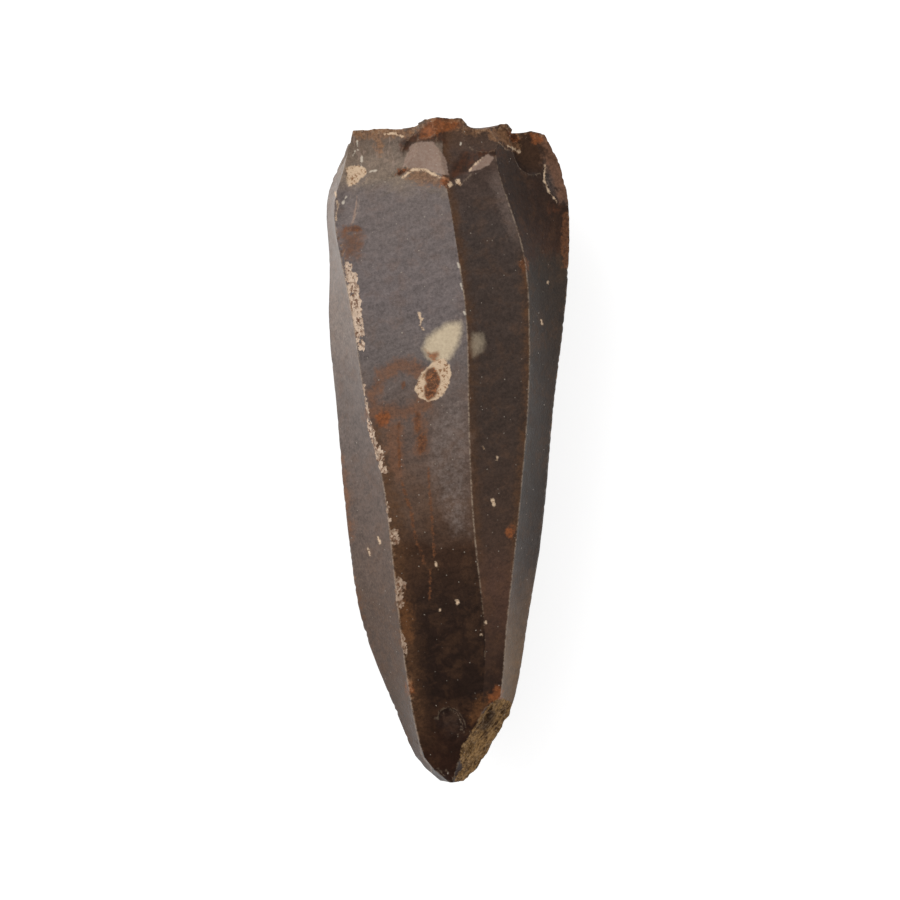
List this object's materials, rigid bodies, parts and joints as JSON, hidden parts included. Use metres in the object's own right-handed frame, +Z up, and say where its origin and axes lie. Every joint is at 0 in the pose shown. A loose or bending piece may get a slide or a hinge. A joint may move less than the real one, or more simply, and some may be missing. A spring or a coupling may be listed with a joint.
{
  "type": "flint blade core",
  "caption": "Struck flint blade core, tapering from its striking platform to a blunt tip, with long blade scars down its front and a flat face to lie on.",
  "frame": {"origin": "on the surface that the core lies on, under the middle of its box", "axes": "+Z up, out of the face with the blade scars; +Y along the length, towards the striking platform; +X to the right of someone who looks down on the blade scars"},
  "size_m": [0.0474, 0.1292, 0.037],
  "materials": {
    "flint": "waxy grey-brown flint with rust stains, pale specks and a rough break"
  },
  "bodies": {
    "root": {"flint_core": "flint"}
  },
  "joints": []
}
